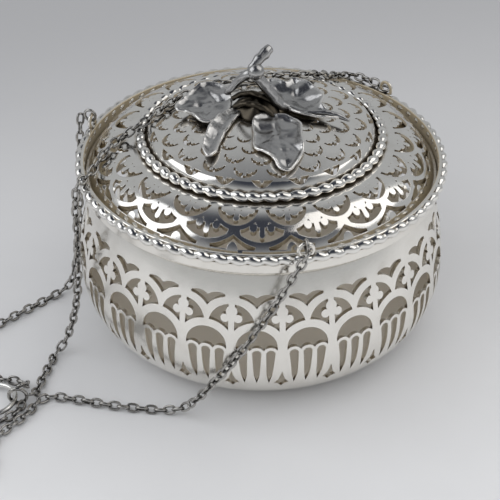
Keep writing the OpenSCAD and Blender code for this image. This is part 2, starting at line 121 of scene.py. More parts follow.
def make(name, verts, faces):
    """A smooth-shaded object from points in millimetres."""
    mesh = bpy.data.meshes.new(name)
    mesh.from_pydata([(v[0] * MM, v[1] * MM, v[2] * MM) for v in verts], [], faces)
    mesh.validate()
    mesh.update()
    mesh.polygons.foreach_set("use_smooth", [True] * len(mesh.polygons))
    obj = bpy.data.objects.new(name, mesh)
    scene.collection.objects.link(obj)
    return obj


def frames_along(points, up=Vector((0, 0, 1)), closed=False):
    """A tangent and two side vectors at each point, turned as little as possible."""
    out = []
    n = len(points)
    side = None
    for i in range(n):
        if closed:
            t = points[(i + 1) % n] - points[i - 1]
        else:
            t = points[min(i + 1, n - 1)] - points[max(i - 1, 0)]
        t = t.normalized()
        if side is None:
            side = up.cross(t)
            if side.length < 1e-3:
                side = Vector((1, 0, 0)).cross(t)
        side = (side - t * side.dot(t)).normalized()
        out.append((t, side, t.cross(side)))
    return out


def tube_part(verts, faces, points, radii, sides, closed=False, up=Vector((0, 0, 1))):
    """Adds a tube along the points to the lists, capped where it is open."""
    base = len(verts)
    n = len(points)
    for i, (p, (t, u, w)) in enumerate(zip(points, frames_along(points, up, closed))):
        r = radii[i] if isinstance(radii, list) else radii
        for k in range(sides):
            a = FULL_TURN * k / sides
            verts.append(p + (u * math.cos(a) + w * math.sin(a)) * r)
    rings = n if closed else n - 1
    for i in range(rings):
        j = (i + 1) % n
        for k in range(sides):
            m = (k + 1) % sides
            here, there = base + i * sides, base + j * sides
            faces.append((here + k, here + m, there + m, there + k))
    if not closed:
        faces.append(tuple(base + k for k in range(sides - 1, -1, -1)))
        faces.append(tuple(base + (n - 1) * sides + k for k in range(sides)))


# Materials

def node(tree, kind, **values):
    """A shader node with its inputs or its settings filled in."""
    n = tree.nodes.new(kind)
    for key, value in values.items():
        if key in n.inputs:
            n.inputs[key].default_value = value
        else:
            setattr(n, key, value)
    return n


def math_node(tree, op, a, b=0.0, clamp=False):
    n = tree.nodes.new("ShaderNodeMath")
    n.operation = op
    n.use_clamp = clamp
    for i, v in enumerate((a, b)):
        if hasattr(v, "is_output"):
            tree.links.new(v, n.inputs[i])
        else:
            n.inputs[i].default_value = v
    return n.outputs[0]


def ramp(tree, value, low, high, out_low=0.0, out_high=1.0):
    n = tree.nodes.new("ShaderNodeMapRange")
    n.clamp = True
    n.interpolation_type = "SMOOTHSTEP"
    tree.links.new(value, n.inputs["Value"])
    n.inputs["From Min"].default_value = low
    n.inputs["From Max"].default_value = high
    n.inputs["To Min"].default_value = out_low
    n.inputs["To Max"].default_value = out_high
    return n.outputs["Result"]


def mix_color(tree, factor, a, b):
    n = tree.nodes.new("ShaderNodeMix")
    n.data_type = "RGBA"
    tree.links.new(factor, n.inputs["Factor"])
    for socket, v in ((n.inputs["A"], a), (n.inputs["B"], b)):
        if hasattr(v, "is_output"):
            tree.links.new(v, socket)
        else:
            socket.default_value = (*v, 1)
    return n.outputs["Result"]


CLOUD_SCALE, MARKS_SCALE = 140.0, 2600.0
CLOUD_SHARE, MARKS_SHARE = 0.55, 0.10
CLOUD_SHADE = 0.93
TARNISH_AND_SHADE_ROUGH = 0.45
INSIDE_ROUGHER, INSIDE_DULLER = 0.2, 0.8
RELIEF_STRENGTH = 0.35


def silver(name, clean, tarnish_and_shade, rough=0.16, ao=1.2, ao_low=0.35, ao_high=0.95, inside=None,
           floor_z=None, edge=0.12, dents=0.0, dent_scale=900.0, bump=0.02, wear_and_highlight=None):
    """Polished silver, with faint polishing marks: where little light reaches it turns towards a
    second colour that is partly tarnish and partly painted shade.

    ao, edge, bump and floor_z are in millimetres. inside holds the duller colour of faces that
    look towards the axis, and how far a downward face counts as one. The last argument is the
    lighter colour along edges where the mesh says so, partly real rubbing and partly painted
    highlight.
    """
    mat = bpy.data.materials.new(name)
    mat.use_nodes = True
    tree = mat.node_tree
    links = tree.links
    bsdf = tree.nodes["Principled BSDF"]
    bsdf.inputs["Metallic"].default_value = 1.0
    place = tree.nodes.new("ShaderNodeTexCoord").outputs["Object"]
    cloud = node(tree, "ShaderNodeTexNoise", Scale=CLOUD_SCALE, Detail=6.0, Roughness=0.6)
    links.new(place, cloud.inputs["Vector"])
    fine = node(tree, "ShaderNodeTexNoise", Scale=MARKS_SCALE, Detail=3.0, Roughness=0.6)
    links.new(place, fine.inputs["Vector"])
    # Painted shade: ambient occlusion darkens the colour in creases, gaps and hollows, the same
    # mark as the tarnish there.
    dim = node(tree, "ShaderNodeAmbientOcclusion", samples=8)
    dim.inputs["Distance"].default_value = ao * MM
    open_sky = ramp(tree, dim.outputs["AO"], ao_low, ao_high)
    centred = math_node(tree, "SUBTRACT", cloud.outputs["Fac"], 0.5)
    wobble = math_node(tree, "MULTIPLY", centred, CLOUD_SHARE)
    clear = math_node(tree, "ADD", open_sky, wobble, clamp=True)
    tint = mix_color(tree, cloud.outputs["Fac"], tuple(c * CLOUD_SHADE for c in clean), clean)
    color = mix_color(tree, clear, tarnish_and_shade, tint)
    rough_value = ramp(tree, clear, 0.0, 1.0, TARNISH_AND_SHADE_ROUGH, rough)
    if inside:
        geometry = tree.nodes.new("ShaderNodeNewGeometry")
        flat = node(tree, "ShaderNodeVectorMath", operation="MULTIPLY")
        links.new(geometry.outputs["Position"], flat.inputs[0])
        flat.inputs[1].default_value = (1, 1, 0)
        unit = node(tree, "ShaderNodeVectorMath", operation="NORMALIZE")
        links.new(flat.outputs["Vector"], unit.inputs[0])
        dot = node(tree, "ShaderNodeVectorMath", operation="DOT_PRODUCT")
        links.new(unit.outputs["Vector"], dot.inputs[0])
        links.new(geometry.outputs["True Normal"], dot.inputs[1])
        split = node(tree, "ShaderNodeSeparateXYZ")
        links.new(geometry.outputs["True Normal"], split.inputs[0])
        down = math_node(tree, "MULTIPLY", split.outputs["Z"], inside[1])
        inward = ramp(tree, math_node(tree, "ADD", dot.outputs["Value"], down), -0.15, -0.6)
        if floor_z:
            level = node(tree, "ShaderNodeSeparateXYZ")
            links.new(place, level.inputs[0])
            low = ramp(tree, level.outputs["Z"], floor_z * MM, floor_z * MM * 0.8)
            upward = ramp(tree, split.outputs["Z"], 0.5, 0.8)
            floor_up = math_node(tree, "MULTIPLY", low, upward)
            inward = math_node(tree, "MAXIMUM", inward, floor_up)
        dull = math_node(tree, "MULTIPLY", inward, -INSIDE_DULLER)
        links.new(math_node(tree, "ADD", dull, 1.0), bsdf.inputs["Metallic"])
        color = mix_color(tree, inward, color, inside[0])
        rougher = math_node(tree, "MULTIPLY", inward, INSIDE_ROUGHER)
        rough_value = math_node(tree, "ADD", rough_value, rougher, clamp=True)
    # Lighter edges where the mesh marks them: partly real rubbing, partly painted highlight.
    if wear_and_highlight:
        wear_and_highlight_mask = node(tree, "ShaderNodeAttribute", attribute_name="wear_and_highlight")
        color = mix_color(tree, wear_and_highlight_mask.outputs["Fac"], color, wear_and_highlight)
    links.new(color, bsdf.inputs["Base Color"])
    marks = math_node(tree, "SUBTRACT", fine.outputs["Fac"], 0.5)
    spread = math_node(tree, "MULTIPLY", marks, MARKS_SHARE)
    links.new(math_node(tree, "ADD", rough_value, spread, clamp=True), bsdf.inputs["Roughness"])
    height = fine.outputs["Fac"]
    if dents:
        pits = node(tree, "ShaderNodeTexNoise", Scale=dent_scale, Detail=4.0, Roughness=0.55)
        links.new(place, pits.inputs["Vector"])
        deep = math_node(tree, "MULTIPLY", pits.outputs["Fac"], dents)
        height = math_node(tree, "ADD", deep, height)
    relief = node(tree, "ShaderNodeBump", Strength=RELIEF_STRENGTH)
    relief.inputs["Distance"].default_value = bump * MM
    links.new(height, relief.inputs["Height"])
    if edge:
        round_edge = node(tree, "ShaderNodeBevel", samples=4)
        round_edge.inputs["Radius"].default_value = edge * MM
        links.new(round_edge.outputs["Normal"], relief.inputs["Normal"])
    links.new(relief.outputs["Normal"], bsdf.inputs["Normal"])
    return mat


BRIGHT = (0.93, 0.91, 0.87)
IVORY = (0.94, 0.915, 0.86)
BROWN = (0.16, 0.12, 0.085)

# The second colour of each finish is its tarnish colour, which also paints shade into its
# creases.
bowl_mat = silver("bowl_silver", IVORY, (0.36, 0.29, 0.20), rough=0.24, edge=0.15,
                  inside=((0.80, 0.75, 0.67), 0.0), floor_z=5.0)
lid_mat = silver("lid_silver", BRIGHT, (0.38, 0.31, 0.21), rough=0.14, edge=0.18,
                 inside=((0.58, 0.51, 0.40), 1.2))
rim_mat = silver("rim_silver", (0.93, 0.90, 0.84), (0.40, 0.32, 0.21), rough=0.16, edge=0.15,
                 inside=((0.44, 0.37, 0.26), 0.0))
rope_mat = silver("rope_silver", BRIGHT, (0.07, 0.05, 0.035), rough=0.13, ao=1.3, ao_low=0.40,
                  ao_high=0.85, edge=0, dents=1.2)
# Leaves: the last colour is the edge band, partly real rubbing and partly painted highlight.
leaf_mat = silver("leaf_silver", (0.50, 0.495, 0.49), (0.05, 0.042, 0.035), rough=0.24, ao=5.0,
                  ao_low=0.30, ao_high=0.9, edge=0.1, dents=2.2, dent_scale=420.0, bump=0.06,
                  wear_and_highlight=(0.90, 0.88, 0.85))
# Near black: painted shade for the hollow under the branch, on the knot and the two low stems.
knot_shade_mat = silver("knot_painted_shade", (0.10, 0.085, 0.065), (0.015, 0.012, 0.009), rough=0.36, ao=2.5,
                  ao_low=0.3, ao_high=0.95, edge=0, dents=3.0, dent_scale=600.0, bump=0.06)
chain_mat = silver("chain_silver", (0.47, 0.455, 0.43), (0.025, 0.02, 0.015), rough=0.17, ao=1.8,
                   ao_low=0.42, ao_high=0.92, edge=0, dents=2.0)
inner_mat = silver("inner_silver", (0.66, 0.58, 0.42), BROWN, rough=0.34, edge=0.1)
ring_mat = silver("ring_silver", (0.86, 0.85, 0.82), BROWN, rough=0.2, edge=0, dents=1.0)


def paint(obj, mat):
    if obj.data.materials:
        for i in range(len(obj.data.materials)):
            obj.data.materials[i] = mat
    else:
        obj.data.materials.append(mat)


# Chains: the routes repeat those of the CAD, as points on the middle of each chain
ROUTE_FRONT = [
    [11.4, -51.8, 55.6], [8.6, -51.9, 50.5], [1, -52.4, 36], [-7.5, -52.3, 22], [-12, -51.3, 15],
    [-16.5, -49.8, 8], [-20.5, -48.2, 3.2], [-25.5, -47, 1.2], [-38.5, -45.4, 1.2],
    [-51.5, -42.4, 1.2], [-57, -41.6, 1.2], [-60, -43.6, 1.2], [-61.4, -46.6, 1.2],
    [-63.8, -50.4, 1.2], [-67, -54.4, 1.2], [-69.6, -58.6, 1.2], [-70, -63.5, 1.2],
    [-69, -69, 1.2], [-71.5, -75, 1.2], [-78.5, -77, 1.2], [-84, -72, 1.2],
    [-84, -64.5, 1.2], [-79.5, -58, 1.2], [-74.5, -54.2, 1.2], [-69.4, -51.6, 1.2],
    [-65.6, -48.2, 1.2], [-63.9, -44.2, 1.4]]
ROUTE_LEFT = [
    [-50.6, 16, 55.6], [-50.9, 13.8, 50], [-51.6, 10.4, 36], [-52.6, 8.8, 22], [-53.4, 8.4, 15],
    [-54.6, 8, 8.5], [-56.4, 7.2, 3.2], [-60, 5, 1.2], [-69.8, -4.4, 1.2], [-75, -9.4, 1.2],
    [-81, -13, 1.2], [-88, -14.8, 1.2], [-96, -15.6, 1.2], [-106, -17.6, 1.2],
    [-111.6, -22.4, 1.2], [-111.8, -29, 1.2], [-106, -33.8, 1.2], [-96, -35.2, 1.2],
    [-88, -35.2, 1.2], [-81, -34.4, 1.2], [-74.5, -34, 1.2], [-68.6, -34.6, 1.2],
    [-64.8, -36, 1.4], [-63.6, -38.8, 3], [-64.2, -41, 4.9], [-65, -42.4, 5.6]]
ROUTE_BACK = [
    [34.4, 36.6, 54.3], [31.2, 38.9, 54.3], [28.2, 41.1, 54.3], [27, 42, 54.3],
    [25.6, 41.6, 54.4], [24.3, 40, 54.9], [23.3, 38, 56], [22.3, 35.6, 57.6],
    [21.2, 33.2, 58.9], [19.8, 31, 59.5], [18.4, 29.4, 61.1], [17.2, 28, 62.1],
    [16, 26.6, 62.5], [14.8, 25.2, 63.6], [13, 23.6, 64.3], [10.2, 22.2, 64.9],
    [6.6, 21, 65.4], [2.2, 19.6, 65.8], [-3.4, 17.8, 66.1], [-8.6, 16, 66.1],
    [-13.2, 14.4, 65.9], [-17.4, 12.6, 65.5], [-21.2, 10.2, 65], [-24.4, 7.4, 64.5],
    [-27, 4.4, 64], [-29.2, 1.8, 63.6], [-31, 0.2, 62.6], [-32.8, -0.8, 62.2],
    [-34.7, -1.8, 61.1], [-36.8, -2.8, 59.7], [-39, -4.4, 59], [-41, -6.6, 58],
    [-42.8, -9, 56.6], [-44.4, -11.4, 55], [-45.6, -13.4, 54.3], [-47, -15.8, 54.3],
    [-47.7, -17, 54.3], [-48.6, -18.8, 53.5], [-49, -19.5, 50], [-49.3, -20.4, 36],
    [-50.2, -20.5, 22], [-51.2, -20.4, 15.5], [-52.8, -20.3, 9], [-55, -20.6, 3.6],
    [-57.4, -23.2, 1.2], [-58.8, -29, 1.2], [-60, -34.4, 1.2], [-60.6, -38.6, 1.2],
    [-61.6, -41.6, 2.2], [-62.6, -43, 3.2]]
LINK_PITCH, LINK_LONG, LINK_WIDE, LINK_WIRE = 2.5, 3.1, 2.0, 0.36
LINK_CORNERS, LINK_SIDES = 14, 7
LINK_SQUARE = 0.8
LINK_TILTS = (-42, 48)
TILT_SPREAD, LEAN_SPREAD = 14, 0.10
# A run steeper than this turns its links about the bowl's axis, not about the vertical
STEEP = 0.75


def chain(name, path, phase=0):
    """Oval links along a path, each turned a quarter from the last."""
    rng = random.Random(len(path) + phase)
    total = length_of(path)
    count = int(total / LINK_PITCH)
    pitch = total / count
    marks = resample(path, pitch / 2)
    verts, faces = [], []
    for i in range(count):
        mid = marks[min(2 * i + 1, len(marks) - 1)]
        t = (marks[min(2 * i + 2, len(marks) - 1)] - marks[2 * i]).normalized()
        up = Vector((0, 0, 1))
        if abs(t.z) > STEEP:
            up = Vector((mid.x, mid.y, 0)).normalized()
        side = up.cross(t).normalized()
        tilt = math.radians(LINK_TILTS[(i + phase) % 2] + rng.uniform(-TILT_SPREAD, TILT_SPREAD))
        u = side * math.cos(tilt) + t.cross(side) * math.sin(tilt)
        u = (u + t * rng.uniform(-LEAN_SPREAD, LEAN_SPREAD)).normalized()
        loop = []
        for k in range(LINK_CORNERS):
            a = FULL_TURN * k / LINK_CORNERS
            c, s = math.cos(a), math.sin(a)
            x = math.copysign(abs(c) ** LINK_SQUARE, c) * LINK_LONG / 2
            y = math.copysign(abs(s) ** LINK_SQUARE, s) * LINK_WIDE / 2
            loop.append(mid + t * x + u * y)
        tube_part(verts, faces, loop, LINK_WIRE, LINK_SIDES, closed=True, up=t.cross(u))
    obj = make(name, verts, faces)
    paint(obj, chain_mat)
    return obj


path_front = catmull(ROUTE_FRONT)
path_left = catmull(ROUTE_LEFT)
path_back = catmull(ROUTE_BACK)
BACK_MIDDLE = Vector((-3.4, 17.8, 66.1))
cut = min(range(len(path_back)), key=lambda i: (path_back[i] - BACK_MIDDLE).length)
path_back_a, path_back_b = path_back[:cut + 1], path_back[cut:]


link_front = chain("links_front", path_front)
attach(link_front, "holder")
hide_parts("chain_front")
link_left = chain("links_left", path_left, 1)
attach(link_left, "holder")
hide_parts("chain_left")
link_back_a = chain("links_back_right", path_back_a)
link_back_b = chain("links_back_left", path_back_b, 1)
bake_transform(link_back_a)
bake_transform(link_back_b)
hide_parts("chain_back_rim", "chain_back_lid")
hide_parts("chain_back_fall")

# Shells, rim and small fittings keep their CAD shape and take a finish
paint(nodes["bowl_shell"], bowl_mat)
for n in ("rim_band", "eyelet_front", "eyelet_right", "eyelet_left"):
    paint(nodes[n], rim_mat)
for n in ("lid_outer", "lid_dome"):
    paint(nodes[n], lid_mat)
for n in ("lid_seat", "lid_bezel", "finial_stud", "finial_washer", "finial_nut"):
    paint(nodes[n], inner_mat)
for n in ("end_ring_front", "end_ring_right", "end_ring_left", "gather_ring"):
    paint(nodes[n], chain_mat)
paint(nodes["hanging_ring"], ring_mat)


# Twisted wire rings: a row of slanting knobs, each a short swelling of one strand
ROPE_STEPS, ROPE_SIDES = 12, 28
KNOB_POWER = 0.5
ROPE_TURN = 0.3
ROPE_SEED = 1.0
ROPE_ROUGH = 0.05


def rope_ring(name, ring_r, z, wire_r, beads, body, replaced, swell=0.42):
    """A ring of knobs; swell is how deep the gaps between them are, as a share of the wire."""
    verts, faces = [], []
    around = beads * ROPE_STEPS
    for i in range(around):
        a = FULL_TURN * i / around
        for k in range(ROPE_SIDES):
            b = FULL_TURN * k / ROPE_SIDES
            phase = beads * a + math.sin(b - ROPE_TURN)
            wave = 0.5 + 0.5 * math.cos(phase)
            knob = wave ** KNOB_POWER
            p = Vector((math.cos(a) * 9, math.sin(a) * 9, b + ROPE_SEED))
            coarse = noise.noise(Vector((a * ring_r * 0.9, b * 1.3, ROPE_SEED)))
            rough = noise.noise(p * 2.4) * ROPE_ROUGH + coarse * ROPE_ROUGH
            r = wire_r * (1 - swell * (1 - knob)) + rough
            out = ring_r + r * math.cos(b)
            verts.append(Vector((out * math.cos(a), out * math.sin(a), z + r * math.sin(b))))
    for i in range(around):
        here, there = i * ROPE_SIDES, (i + 1) % around * ROPE_SIDES
        for k in range(ROPE_SIDES):
            m = (k + 1) % ROPE_SIDES
            faces.append((here + k, there + k, there + m, here + m))
    obj = make(name, verts, faces)
    paint(obj, rope_mat)
    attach(obj, body)
    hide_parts(replaced)
    return obj


# Radius and height of each ring, the wire's radius and the count of knobs, close to part.scad
rim_rope = rope_ring("rope_rim", 49.35, 51.6, 1.42, 74, "holder", "rim_rope", swell=0.5)
lid_rope = rope_ring("rope_lid", 32.6, 59.4, 1.4, 54, "lid", "lid_rope")


# Finial: leaves as thin cast sheets whose height follows given points
def inside_outline(p, outline):
    """Whether the point is inside the closed line."""
    x, y = p
    hit = False
    for (x1, y1), (x2, y2) in zip(outline, outline[1:] + outline[:1]):
        if (y1 > y) != (y2 > y) and x < (x2 - x1) * (y - y1) / (y2 - y1) + x1:
            hit = not hit
    return hit


def line_distance(p, line):
    """How far the point is from the open line."""
    best = 1e9
    for (ax, ay), (bx, by) in zip(line, line[1:]):
        dx, dy = bx - ax, by - ay
        along = ((p[0] - ax) * dx + (p[1] - ay) * dy) / max(dx * dx + dy * dy, 1e-9)
        q = max(0, min(1, along))
        best = min(best, math.hypot(p[0] - ax - q * dx, p[1] - ay - q * dy))
    return best


def edge_distance(p, outline):
    return line_distance(p, outline + outline[:1])


def blend_height(x, y, marks, soften):
    """The height at x, y, from the heights at the marks, the near ones counting most."""
    top = low = 0.0
    for mx, my, mz in marks:
        w = 1.0 / ((x - mx) ** 2 + (y - my) ** 2 + soften) ** 1.8
        top += w * mz
        low += w
    return top / low


LEAF_THICK, LEAF_STEP = 0.75, 0.55
ROLL_WIDE, WEAR_AND_HIGHLIGHT_WIDE = 0.9, 0.55
VEIN_DEEP, VEIN_WIDE = 0.26, 0.6
# Height and fineness of the two layers of unevenness on a leaf
LEAF_WAVES = ((0.35, 0.33), (0.10, 0.9))


def leaf(name, outline, marks, veins, replaced, curl=0.8, seed=1.0, soften=4.0):
    """A thin cast leaf: curl is how far its edge rolls up, soften how gently the heights join."""
    line = catmull([(x, y, 0) for x, y in outline], closed=True, step=LEAF_STEP)[:-1]
    flat = [(p.x, p.y) for p in line]
    points = [Vector(p) for p in flat]
    edges = [(i, (i + 1) % len(flat)) for i in range(len(flat))]
    xs, ys = [p[0] for p in flat], [p[1] for p in flat]
    row, y = 0, min(ys)
    while y < max(ys):
        x = min(xs) + (LEAF_STEP / 2 if row % 2 else 0)
        while x < max(xs):
            if inside_outline((x, y), flat) and edge_distance((x, y), flat) > LEAF_STEP * 0.6:
                points.append(Vector((x, y)))
            x += LEAF_STEP
        y += LEAF_STEP * 0.87
        row += 1
    vs, _, fs, *_ = delaunay_2d_cdt(points, edges, [], 1, 1e-5)
    verts, edge_wear_and_highlight = [], []
    for v in vs:
        d = edge_distance((v.x, v.y), flat)
        z = blend_height(v.x, v.y, marks, soften) + curl * math.exp(-(d / ROLL_WIDE) ** 2)
        for vein in veins:
            z -= VEIN_DEEP * math.exp(-(line_distance((v.x, v.y), vein) / VEIN_WIDE) ** 2)
        for high, fine in LEAF_WAVES:
            z += high * noise.noise(Vector((v.x * fine, v.y * fine, seed)))
        verts.append((v.x, v.y, z))
        # A lighter band along the outline, partly real rubbing and partly a painted highlight on
        # the rolled edge.
        edge_wear_and_highlight.append(math.exp(-(d / WEAR_AND_HIGHLIGHT_WIDE) ** 2))
    obj = make(name, verts, [tuple(f) for f in fs])
    obj.data.attributes.new("wear_and_highlight", "FLOAT", "POINT").data.foreach_set("value", edge_wear_and_highlight)
    solid = obj.modifiers.new("thickness", "SOLIDIFY")
    solid.thickness = LEAF_THICK * MM
    solid.offset = -1
    soft = obj.modifiers.new("soft", "SUBSURF")
    soft.levels = soft.render_levels = 1
    paint(obj, leaf_mat)
    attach(obj, "lid")
    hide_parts(replaced)


# For each leaf: its outline, points of its surface, and its veins
leaf("leaf_left_cast",
     [(-8.2, 5.6), (-9.9, 8.6), (-12.4, 10.2), (-15.2, 10.6), (-17.4, 9.4), (-19.6, 7.0),
      (-21.2, 4.4), (-23.0, 1.6), (-22.6, -1.0), (-20.4, -1.4), (-19.0, -3.2), (-17.6, -5.8),
      (-15.6, -7.6), (-12.8, -7.4), (-10.4, -4.6), (-8.4, -0.8)],
     [(-8.2, 5.6, 69.6), (-9, 2, 67.4), (-12, 8, 68.4), (-15, 10, 68.6), (-14, 3, 66.9),
      (-18, 6, 67.4), (-22.5, 1, 66.4), (-19, -1, 66.5), (-17.5, -5.5, 67.4), (-14, -7, 66.8),
      (-10.5, -4, 66.6), (-9, -1, 66.8), (-16.5, 0, 65.9)],
     [[(-8.4, 3), (-14, 2.4), (-21.8, 0.4)], [(-12, 2.8), (-15.2, 8.6)],
      [(-13, 2.4), (-15.6, -5.6)]],
     "leaf_left", seed=2.0)

leaf("leaf_front_cast",
     [(-1.2, -5.2), (-2.4, -8.1), (-2.0, -12.0), (-2.2, -16.0), (-1.6, -19.2), (0.2, -20.2),
      (1.8, -21.4), (3.0, -23.6), (4.6, -26.2), (6.6, -27.0), (8.3, -25.4), (10.0, -21.8),
      (10.8, -18.0), (10.5, -13.5), (10.2, -8.7), (7.4, -5.6), (3.6, -4.6)],
     [(-1, -6, 67.4), (-2, -12, 65.9), (-2, -18, 65.3), (3, -22, 65.4), (6.6, -26.5, 63.6),
      (9.8, -21.8, 64.6), (10.6, -14, 66.4), (10, -9, 67.0), (4, -5, 67.2), (4, -13, 66.4),
      (7, -15, 65.7), (1, -15, 65.8), (6, -21, 65.0)],
     [[(3.4, -5), (4.2, -13), (6.4, -25)], [(4, -12), (-1.4, -17.4)], [(4.4, -14), (9.8, -19)]],
     "leaf_front", seed=5.0)

leaf("leaf_back_cast",
     [(0.6, 12.6), (2.8, 14.0), (5.0, 12.6), (6.8, 11.2), (8.6, 13.2), (11.0, 12.2),
      (13.8, 9.8), (16.0, 6.2), (16.6, 3.4), (16.0, 0.8), (17.6, -1.4), (19.6, -3.0),
      (21.0, -4.2), (16.8, -4.9), (12.4, -4.8), (8.6, -3.0), (6.4, 0.2), (4.8, 4.6),
      (3.0, 8.8)],
     [(1, 12, 67.4), (5, 12, 68.4), (8.6, 12.6, 68.2), (12, 11, 68.6), (15.6, 6, 68.2),
      (16.6, 2, 67.6), (20.5, -4, 65.8), (16.5, -4.4, 66.6), (12, -4, 67.2), (8.5, -2, 67.4),
      (6, 2, 67.0), (9, 5, 66.3), (12, 3, 66.0), (4, 8, 66.6)],
     [[(5.4, 4), (10, 5), (15.2, 4)], [(9, 5), (9.4, 11.4)], [(10, 4), (13.5, -2.6)]],
     "leaf_back", seed=8.0)

leaf("leaf_fold_cast",
     [(-6.6, -1.0), (-9.0, -2.6), (-11.4, -5.6), (-13.4, -10.2), (-14.8, -15.0),
      (-15.2, -19.0), (-13.8, -22.0), (-12.0, -20.4), (-10.6, -15.6), (-8.9, -10.6),
      (-7.0, -6.0), (-5.6, -3.2)],
     [(-6.6, -1.4, 67.4), (-9, -3, 67.8), (-11.4, -6, 68.4), (-13.4, -10.4, 68.4),
      (-14.8, -15.5, 67.4), (-15, -19, 66.0), (-13.8, -21.5, 64.9), (-12.2, -19, 65.0),
      (-10.8, -15, 65.4), (-9, -10, 65.7), (-7, -5.6, 66.3), (-11.4, -11, 67.0)],
     [[(-6.8, -2.6), (-10.4, -9), (-13.4, -19)], [(-8.2, -3), (-12.2, -9.6), (-14.4, -18)]],
     "leaf_fold", curl=0.5, seed=11.0, soften=9.0)

STALK_SIDES, STALK_STEP = 14, 0.35
STALK_FINE = 0.6


def cast_tube(name, points, radii, replaced, knobs=0.1, seed=0.0, mat=leaf_mat):
    """A stalk along the points; knobs is how uneven it is."""
    path = catmull(points, step=STALK_STEP)
    n = len(path)
    values = []
    for i in range(n):
        t = i / (n - 1) * (len(radii) - 1)
        k = min(int(t), len(radii) - 2)
        values.append(radii[k] + (radii[k + 1] - radii[k]) * (t - k))
    verts, faces = [], []
    tube_part(verts, faces, path, values, STALK_SIDES, up=Vector((0.1, 1, 0.1)))
    shifts = [Vector((seed, 0, 0)), Vector((0, seed, 3)), Vector((5, 0, seed))]
    for i, v in enumerate(verts):
        verts[i] = v + Vector([noise.noise(v * STALK_FINE + shift) for shift in shifts]) * knobs
    obj = make(name, verts, faces)
    paint(obj, mat)
    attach(obj, "lid")
    if replaced:
        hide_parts(replaced)


cast_tube("branch_cast",
          [(-9.6, 6.2, 67.0), (-9.0, 4.6, 69.2), (-7.4, 2, 72.4), (-5.4, -0.6, 76),
           (-3, -1.6, 78.0), (-0.8, -1.6, 76.6), (1.2, -1.2, 73.6), (3.0, -0.8, 70.8),
           (4.6, -0.6, 68.4), (7.4, -0.2, 66.9)],
          [0.8, 0.95, 1.05, 1.1, 1.3, 1.45, 1.5, 1.5, 1.45, 1.0],
          "finial_branch", knobs=0.12, seed=2.0)
cast_tube("twig_cast",
          [(-3, -1.6, 77.8), (-2.4, -1.2, 79.4), (-1.0, 0.0, 81.0), (0.8, 1.6, 82.4),
           (2.2, 3.0, 83.2)],
          [1.1, 1.25, 1.35, 1.45, 1.5, 1.2], "finial_twig", knobs=0.3, seed=4.0)
cast_tube("tendril_cast",
          [(7.2, 0, 66.9), (10.4, -1.8, 66.6), (13.4, -2.8, 66.8), (16.6, -3, 67),
           (20, -3.6, 66.6), (23.4, -4.8, 65.6)],
          [1.0, 0.8, 0.7, 1.0, 0.8, 0.3], "finial_tendril", knobs=0.12, seed=6.0)

# The stalks grow out of a twisted knot that covers the finial's foot. Its near-black colour is
# painted shade, filling the shaded hollow under the branch.
KNOT_RINGS, KNOT_AROUND = 22, 72
KNOT_SKIRT_Z, KNOT_SKIRT_SHARE = 65.8, 0.94
KNOT_TWIST, KNOT_SLOPE = 2.6, 2.6


def knot(name, middle, radius, low, high, strands, replaced):
    """A low twisted mound, from radius wide at low to its top at high, closed underneath."""
    mx, my = middle
    verts, faces = [], []
    turns = [FULL_TURN * k / KNOT_AROUND for k in range(KNOT_AROUND)]
    for i in range(1, KNOT_RINGS + 1):
        q = i / KNOT_RINGS
        for a in turns:
            wave = math.cos(strands * a + KNOT_TWIST * q)
            rough = noise.noise(Vector((math.cos(a) * 2, math.sin(a) * 2, 3.0)))
            r = radius * q * (1 + 0.07 * wave + 0.05 * rough)
            z = low + (high - low) * (1 - q ** KNOT_SLOPE)
            z += 0.42 * wave * math.sin(math.pi * min(1.0, q * 1.1))
            verts.append(Vector((mx + r * math.cos(a), my + r * math.sin(a), z)))
    base = len(verts)
    skirt = radius * KNOT_SKIRT_SHARE
    for a in turns:
        verts.append(Vector((mx + skirt * math.cos(a), my + skirt * math.sin(a), KNOT_SKIRT_Z)))
    for i in range(KNOT_RINGS - 1):
        here, there = i * KNOT_AROUND, (i + 1) * KNOT_AROUND
        for k in range(KNOT_AROUND):
            m = (k + 1) % KNOT_AROUND
            faces.append((here + k, there + k, there + m, here + m))
    verts.append(Vector((mx, my, high)))
    last = (KNOT_RINGS - 1) * KNOT_AROUND
    for k in range(KNOT_AROUND):
        m = (k + 1) % KNOT_AROUND
        faces.append((last + k, base + k, base + m, last + m))
        faces.append((base + KNOT_AROUND, k, m))
    faces.append(tuple(base + k for k in range(KNOT_AROUND - 1, -1, -1)))
    obj = make(name, verts, faces)
    paint(obj, knot_shade_mat)
    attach(obj, "lid")
    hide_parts(replaced)


knot("stalk_knot", (-1.6, 0.6), 6.6, 66.3, 70.2, 5, "finial_foot")
# The two low stems take the knot's painted shade colour.
cast_tube("stem_low",
          [(-7.2, -1.2, 67.8), (-4.8, -2.4, 69.4), (-1.6, -3.4, 69.6), (1.4, -4.4, 68.6),
           (3.4, -5.2, 67.2)],
          [0.6, 0.8, 0.9, 0.8, 0.6], None, knobs=0.35, seed=9.0, mat=knot_shade_mat)
cast_tube("stem_high",
          [(-7.6, 2.4, 68.4), (-5.0, 1.2, 70.4), (-1.8, 0.0, 71.0), (1.2, -0.8, 70.2),
           (4.2, -0.8, 68.2)],
          [0.6, 0.8, 0.8, 0.8, 0.6], None, knobs=0.35, seed=12.0, mat=knot_shade_mat)

# Bud: a round berry, a little flattened, with a small pit near its tip
BUD_RADIUS = 2.26
BUD_PLACE = Vector((-1.5, -1.7, 78.7))
BUD_PIT = Vector((1.6, -0.6, -1.0))
BUD_FLAT = 0.97

